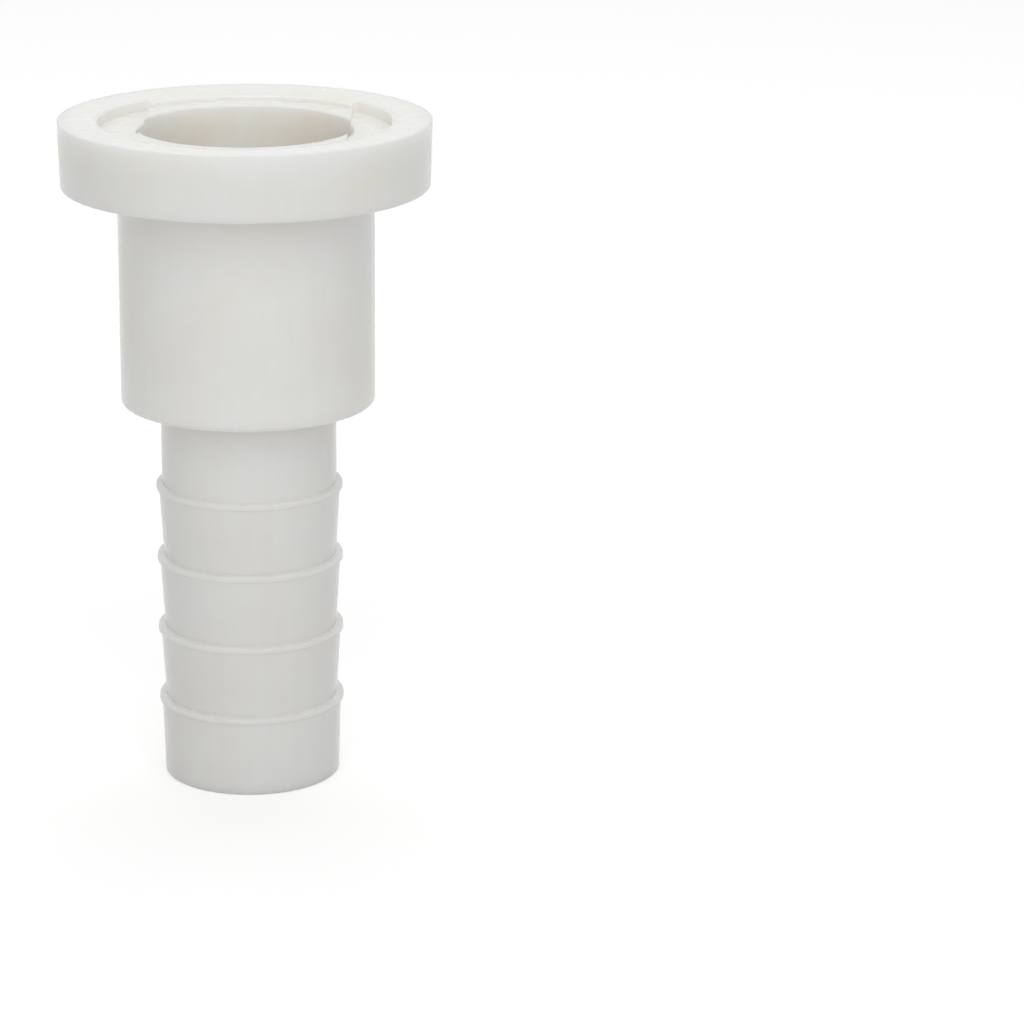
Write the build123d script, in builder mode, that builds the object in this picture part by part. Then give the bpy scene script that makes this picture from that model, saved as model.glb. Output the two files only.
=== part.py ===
from build123d import *
import os

# Hose barb connector with a flanged union end, moulded in one piece.
# Millimetres. +Z points up the bore towards the flange, and the origin is on the axis,
# in the plane of the barb end on which the connector stands.

# Shank and its narrow bore
shank_bore_d = 15.0
neck_wall = 2.15  # wall of the plain neck between the highest barb and the shoulder
neck_length = 9.1
end_radius = 0.35  # rounding of the outer corner at the barb end
mouth_radius = 0.3  # rounding at both ends of the narrow bore

# Barbs, counted from the barb end upwards
barb_count = 4
barb_pitch = 8.18
pilot_length = 8.45  # from the barb end to the underside of the lowest lip
pilot_end_wall = 2.25
barb_top_wall = 2.5  # wall where a barb's cone meets its lip
barb_root_wall = 2.05  # wall at the foot of a barb's cone, on top of the lip below
lip_height = 0.55
lip_rise = 0.33  # how far a lip stands out from the cone below it
lip_taper = 0.06  # how much less it stands out at its upper edge
lip_top_fall = 0.15  # slope of a lip's upper face, outwards and down
lip_radius = 0.1

# Body with the wide bore
body_bore_d = 23.4
body_wall = 2.25
body_length = 24.15  # from the shoulder to the underside of the flange
body_corner_radius = 0.6
shoulder_wall = 2.2  # floor between the shoulder and the wide bore
floor_radius = 1.5
body_root_radius = 0.4  # inner corner between body and flange
neck_root_radius = 0.35  # inner corner between neck and shoulder

# Flange
flange_overhang = 6.3  # how far its rim stands out from the body at the top face
flange_height = 7.3
flange_draft = 0.22  # how much narrower the rim is at its underside
flange_top_radius = 0.12
flange_under_radius = 0.25

# Recess in the flange face: a flat cone round it, a ledge round the bore, a deeper pocket on each side
cone_width = 1.9  # along the face, from the flat ring in to the round wall of the recess
cone_drop = 0.4
cone_blend_radius = 4.0  # between the flat ring and the cone
ledge_width = 3.3  # from the wide bore out to the round wall
ledge_depth = 0.85  # below the flange face, like the pockets
pocket_depth = 1.3
pocket_reach = 0.9  # how far a pocket goes beyond the round wall
pocket_inset = 0.5  # how far the straight side of a pocket cuts into the wide bore
pocket_corner_radius = 0.25
recess_edge_radius = 0.15
ledge_chamfer = 0.12

same = 0.001  # two lengths that differ by less count as equal

# Worked out from the sizes above
shank_bore_r = shank_bore_d / 2
neck_r = shank_bore_r + neck_wall
body_bore_r = body_bore_d / 2
body_r = body_bore_r + body_wall
flange_r = body_r + flange_overhang
recess_r = body_bore_r + ledge_width
cone_r = recess_r + cone_width
pocket_r = recess_r + pocket_reach
pocket_side_x = body_bore_r - pocket_inset
top_lip_z = pilot_length + (barb_count - 1) * barb_pitch
shoulder_z = top_lip_z + lip_height + lip_top_fall + neck_length
flange_z = shoulder_z + body_length
top_z = flange_z + flange_height
floor_z = shoulder_z + shoulder_wall
cone_z = top_z - cone_drop
ledge_z = top_z - ledge_depth
pocket_z = top_z - pocket_depth


def barb_corners(number):
    """Corners of one barb's lip, from its underside to its upper face, as (radius, height)."""
    under_z = pilot_length + number * barb_pitch
    slope_r = shank_bore_r + barb_top_wall
    above_r = neck_r if number == barb_count - 1 else shank_bore_r + barb_root_wall
    return [
        (slope_r, under_z),
        (slope_r + lip_rise, under_z),
        (slope_r + lip_rise - lip_taper, under_z + lip_height),
        (above_r, under_z + lip_height + lip_top_fall),
    ]


end_corner = (shank_bore_r + pilot_end_wall, 0)
neck_corner = (neck_r, shoulder_z)
shoulder_corner = (body_r, shoulder_z)
flange_root = (body_r, flange_z)
flange_under = (flange_r - flange_draft, flange_z)
flange_top = (flange_r, top_z)
barbs = [corner for number in range(barb_count) for corner in barb_corners(number)]
body_and_flange = [neck_corner, shoulder_corner, flange_root, flange_under, flange_top]


def round_corner(profile, corner, radius):
    """Round the corner of a profile that lies at (radius, height)."""
    fillet(profile.vertices().sort_by_distance(corner)[0], radius)


def rims(height, radius):
    """The round edges of the connector that lie at a height and have a radius."""
    return hose_barb_connector.edges().filter_by(GeomType.CIRCLE).filter_by(
        lambda edge: abs(edge.bounding_box().min.Z - height) < same and abs(edge.radius - radius) < same
    )


with BuildPart() as hose_barb_connector:
    # Outer form: pilot end, barbs, neck, body and flange, turned about the axis
    with BuildSketch(Plane.XZ) as outer_profile:
        with BuildLine():
            Polyline((0, 0), end_corner, *barbs, *body_and_flange, (0, top_z), close=True)
        make_face()
        round_corner(outer_profile, end_corner, end_radius)
        for number in range(barb_count):
            lower_edge, upper_edge = barb_corners(number)[1:3]
            round_corner(outer_profile, lower_edge, lip_radius)
            round_corner(outer_profile, upper_edge, lip_radius)
        round_corner(outer_profile, neck_corner, neck_root_radius)
        round_corner(outer_profile, shoulder_corner, body_corner_radius)
        round_corner(outer_profile, flange_root, body_root_radius)
        round_corner(outer_profile, flange_under, flange_under_radius)
        round_corner(outer_profile, flange_top, flange_top_radius)
    revolve(axis=Axis.Z)

    # Narrow bore through the shank, opening into the wide bore of the body
    with Locations((0, 0, top_z)):
        CounterBoreHole(shank_bore_r, body_bore_r, top_z - floor_z)
    fillet(rims(floor_z, body_bore_r), floor_radius)
    fillet(rims(floor_z, shank_bore_r), mouth_radius)
    fillet(rims(0, shank_bore_r), mouth_radius)

    # Recess in the flange face: the cone and the ledge, turned about the axis
    with BuildSketch(Plane.XZ) as recess_profile:
        with BuildLine():
            Polyline(
                (0, top_z), (cone_r, top_z), (recess_r, cone_z), (recess_r, ledge_z), (0, ledge_z), close=True
            )
        make_face()
    revolve(axis=Axis.Z, mode=Mode.SUBTRACT)
    fillet(rims(top_z, cone_r), cone_blend_radius)
    chamfer(rims(ledge_z, body_bore_r), ledge_chamfer)

    # Pockets at the left and the right of the bore, open towards it
    with BuildSketch(Plane.XY.offset(top_z)) as pockets:
        Circle(pocket_r)
        Rectangle(2 * pocket_side_x, 2 * pocket_r, mode=Mode.SUBTRACT)
        fillet(pockets.vertices(), pocket_corner_radius)
    extrude(amount=-pocket_depth, mode=Mode.SUBTRACT)
    chamfer(rims(pocket_z, body_bore_r), ledge_chamfer)

    # Round the corners where a pocket meets the round wall
    sharp_corners = hose_barb_connector.edges().filter_by(Axis.Z).filter_by(
        lambda edge: abs(Vector(edge.center().X, edge.center().Y).length - recess_r) < same
    )
    fillet(sharp_corners, pocket_corner_radius)

    # Round the edge all round the recess; the longest edge of the cone is the one at the flat ring
    cone = hose_barb_connector.faces().filter_by(GeomType.CONE).sort_by(Axis.Z)[-1]
    recess_edges = cone.edges().filter_by(GeomType.LINE, reverse=True).sort_by(SortBy.LENGTH)[:-1]
    fillet(recess_edges, recess_edge_radius)

hose_barb_connector.part.label = "hose_barb_connector"

os.makedirs("parts", exist_ok=True)
export_step(hose_barb_connector.part, "parts/hose_barb_connector.step")
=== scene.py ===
import math

import bmesh
import bpy
from mathutils import Euler, Matrix, Vector

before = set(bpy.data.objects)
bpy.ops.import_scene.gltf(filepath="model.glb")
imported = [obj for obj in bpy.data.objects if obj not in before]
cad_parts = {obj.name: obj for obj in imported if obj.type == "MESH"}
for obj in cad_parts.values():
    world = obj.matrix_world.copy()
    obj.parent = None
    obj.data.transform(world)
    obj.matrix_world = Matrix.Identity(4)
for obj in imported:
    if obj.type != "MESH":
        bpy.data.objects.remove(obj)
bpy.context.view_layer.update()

# Hose barb connector with a flanged union end, moulded in one piece from natural polypropylene.
# Places are in metres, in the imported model's frame: +Z points up the bore, and the connector stands
# on its barb end, with the axis at x = y = 0. The CAD model's own surface shows; this file gives it
# its material, and adds the floor, the light and the camera.

MM = 0.001
NODE = "hose_barb_connector"
SLOT = "natural_polypropylene"


# Camera, fitted to the outline of the connector in the photograph

PHOTO_SIZE = 1024
AIM_HEIGHT = 38.0 * MM
AIM_PIXEL = (249.1, 441.7)  # where the point on the axis at that height lies in the photograph
CAMERA_DISTANCE = 446.4 * MM
CAMERA_PITCH = math.radians(16.57)
CAMERA_ROLL = math.radians(0.42)
FOCAL_PIXELS = 4042
SENSOR_WIDTH = 36.0


def make_camera():
    """A camera that sees the aim point at its pixel of the photograph."""
    data = bpy.data.cameras.new("camera")
    data.sensor_width = SENSOR_WIDTH
    data.lens = SENSOR_WIDTH * FOCAL_PIXELS / PHOTO_SIZE
    camera = bpy.data.objects.new("camera", data)
    bpy.context.collection.objects.link(camera)
    turn = Euler((math.pi / 2 - CAMERA_PITCH, 0, 0)).to_matrix() @ Matrix.Rotation(CAMERA_ROLL, 3, "Z")
    column, row = AIM_PIXEL
    metres_per_pixel = CAMERA_DISTANCE / FOCAL_PIXELS
    aim_in_view = Vector((
        (column - PHOTO_SIZE / 2) * metres_per_pixel,
        (PHOTO_SIZE / 2 - row) * metres_per_pixel,
        -CAMERA_DISTANCE,
    ))
    place = Vector((0, 0, AIM_HEIGHT)) - turn @ aim_in_view
    camera.matrix_world = Matrix.Translation(place) @ turn.to_4x4()
    bpy.context.scene.camera = camera


def add_node(tree, kind, inputs, **settings):
    """Add a node. Each of its inputs, by name or number, gets a socket to link or a value to set."""
    node = tree.nodes.new(kind)
    for name, value in settings.items():
        setattr(node, name, value)
    for key, value in inputs.items():
        if isinstance(value, bpy.types.NodeSocket):
            tree.links.new(value, node.inputs[key])
        else:
            node.inputs[key].default_value = value
    return node


# Material: milky, slightly translucent plastic with a satin skin

CLEAR_TONE = (0.91, 0.87, 0.81, 1)  # where the plastic is clearer, and darker for it
MILKY_TONE = (0.98, 0.96, 0.92, 1)
IOR = 1.49
SCATTER_DEPTH = 3.0 * MM
SCATTER_RATIO = (1.0, 0.99, 0.95)  # red travels a little farther in the plastic than blue
ROUGHNESS_LOW = 0.16
ROUGHNESS_HIGH = 0.26
NOISE_LOW = 0.3  # noise lies between these two nearly everywhere
NOISE_HIGH = 0.7
HAZE_PER_MM = (0.09, 0.09, 0.09)
HAZE_DETAIL = 3
HAZE_SHARE = 0.8  # of the change of tone; the streaks make the rest
STREAK_PER_MM = (0.8, 0.8, 0.05)  # drawn out along the bore, as the plastic flowed
STREAK_DETAIL = 2
GRAIN_PER_MM = (3.0, 3.0, 3.0)
GRAIN_DETAIL = 2
GRAIN_HEIGHT = 0.004 * MM
WAVE_PER_MM = (0.25, 0.25, 0.25)
WAVE_DETAIL = 1
WAVE_HEIGHT = 0.03 * MM


def make_polypropylene():
    """Natural polypropylene with haze, flow streaks, the grain of the mould and waves from shrinkage."""
    material = bpy.data.materials.new(SLOT)
    material.use_nodes = True
    tree = material.node_tree
    place = add_node(tree, "ShaderNodeTexCoord", {}).outputs["Object"]

    def noise(per_mm, detail):
        """Noise, about 0.5 on average, whose features are 1 / per_mm millimetres across."""
        scale = [per_side / MM for per_side in per_mm]
        stretched = add_node(tree, "ShaderNodeMapping", {"Vector": place, "Scale": scale})
        inputs = {"Vector": stretched.outputs["Vector"], "Scale": 1.0, "Detail": detail}
        return add_node(tree, "ShaderNodeTexNoise", inputs).outputs["Fac"]

    def spread(value, low, high):
        """The range that noise usually takes, drawn out from low to high."""
        inputs = {
            "Value": value, "From Min": NOISE_LOW, "From Max": NOISE_HIGH, "To Min": low, "To Max": high
        }
        return add_node(tree, "ShaderNodeMapRange", inputs).outputs["Result"]

    haze = noise(HAZE_PER_MM, HAZE_DETAIL)
    streak = noise(STREAK_PER_MM, STREAK_DETAIL)
    grain = noise(GRAIN_PER_MM, GRAIN_DETAIL)
    wave = noise(WAVE_PER_MM, WAVE_DETAIL)

    shares = {0: spread(haze, 0, HAZE_SHARE), 1: spread(streak, 0, 1 - HAZE_SHARE)}
    milkiness = add_node(tree, "ShaderNodeMath", shares, operation="ADD")
    tone_inputs = {"Factor": milkiness.outputs["Value"], "A": CLEAR_TONE, "B": MILKY_TONE}
    tone = add_node(tree, "ShaderNodeMix", tone_inputs, data_type="RGBA")

    waves = add_node(tree, "ShaderNodeBump", {"Height": wave, "Distance": WAVE_HEIGHT})
    grain_inputs = {"Height": grain, "Distance": GRAIN_HEIGHT, "Normal": waves.outputs["Normal"]}
    skin = add_node(tree, "ShaderNodeBump", grain_inputs)

    shader = tree.nodes["Principled BSDF"]
    tree.links.new(tone.outputs["Result"], shader.inputs["Base Color"])
    tree.links.new(spread(streak, ROUGHNESS_LOW, ROUGHNESS_HIGH), shader.inputs["Roughness"])
    tree.links.new(skin.outputs["Normal"], shader.inputs["Normal"])
    shader.inputs["IOR"].default_value = IOR
    shader.inputs["Subsurface Weight"].default_value = 1.0
    shader.inputs["Subsurface Radius"].default_value = SCATTER_RATIO
    shader.inputs["Subsurface Scale"].default_value = SCATTER_DEPTH
    return material


# Stage: a pale floor that keeps the shadow, a white surround and two soft lamps

FLOOR_HALF = 3.0  # half the side of the square floor
FLOOR_TONE = (0.7, 0.7, 0.7, 1)
FLOOR_GLOW = 0.48  # lifts the floor to white in view and in reflections
SURROUND_LIGHT = 0.33  # what lights the connector; in view and in reflections it is 1, which is white
WHITE = (1, 1, 1, 1)


def strength_by_ray(tree, in_view, elsewhere):
    """One strength for rays from the camera, off gloss and through glass, and one for all other rays."""
    path = add_node(tree, "ShaderNodeLightPath", {})
    seen = path.outputs["Is Camera Ray"]
    for other in ("Is Glossy Ray", "Is Transmission Ray"):
        either = add_node(tree, "ShaderNodeMath", {0: seen, 1: path.outputs[other]}, operation="MAXIMUM")
        seen = either.outputs["Value"]
    inputs = {"Value": seen, "To Min": elsewhere, "To Max": in_view}
    return add_node(tree, "ShaderNodeMapRange", inputs).outputs["Result"]


def make_floor():
    """A matt floor under the connector that keeps its shadow."""
    mesh = bpy.data.meshes.new("floor")
    work = bmesh.new()
    bmesh.ops.create_grid(work, x_segments=1, y_segments=1, size=FLOOR_HALF)
    work.to_mesh(mesh)
    work.free()
    floor = bpy.data.objects.new("floor", mesh)
    bpy.context.collection.objects.link(floor)

    material = bpy.data.materials.new("floor")
    material.use_nodes = True
    tree = material.node_tree
    tree.nodes.remove(tree.nodes["Principled BSDF"])
    matt = add_node(tree, "ShaderNodeBsdfDiffuse", {"Color": FLOOR_TONE})
    glow = add_node(tree, "ShaderNodeEmission", {"Strength": strength_by_ray(tree, FLOOR_GLOW, 0)})
    both = add_node(tree, "ShaderNodeAddShader", {0: matt.outputs["BSDF"], 1: glow.outputs["Emission"]})
    tree.links.new(both.outputs["Shader"], tree.nodes["Material Output"].inputs["Surface"])
    floor.data.materials.append(material)


def make_surround():
    """A white surround that lights the connector softly from all sides."""
    world = bpy.data.worlds.new("surround")
    world.use_nodes = True
    tree = world.node_tree
    background = tree.nodes["Background"]
    background.inputs["Color"].default_value = WHITE
    tree.links.new(strength_by_ray(tree, 1, SURROUND_LIGHT), background.inputs["Strength"])
    bpy.context.scene.world = world


def make_lamp(name, place, size, power):
    """A square lamp, its power in watts, that faces the middle of the connector."""
    data = bpy.data.lights.new(name, "AREA")
    data.shape = "SQUARE"
    data.size = size
    data.energy = power
    lamp = bpy.data.objects.new(name, data)
    bpy.context.collection.objects.link(lamp)
    lamp.location = place
    towards = Vector((0, 0, AIM_HEIGHT)) - Vector(place)
    lamp.rotation_euler = towards.to_track_quat("-Z", "Y").to_euler()


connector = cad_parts[NODE]
connector.data.materials.clear()
connector.data.materials.append(make_polypropylene())

make_floor()
make_surround()
make_lamp("lamp_above", place=(0, 0.3, 0.9), size=0.8, power=3.3)
make_lamp("lamp_front", place=(0.1, -1.0, 0.7), size=1.2, power=6.6)
make_camera()
bpy.context.scene.view_settings.view_transform = "Standard"
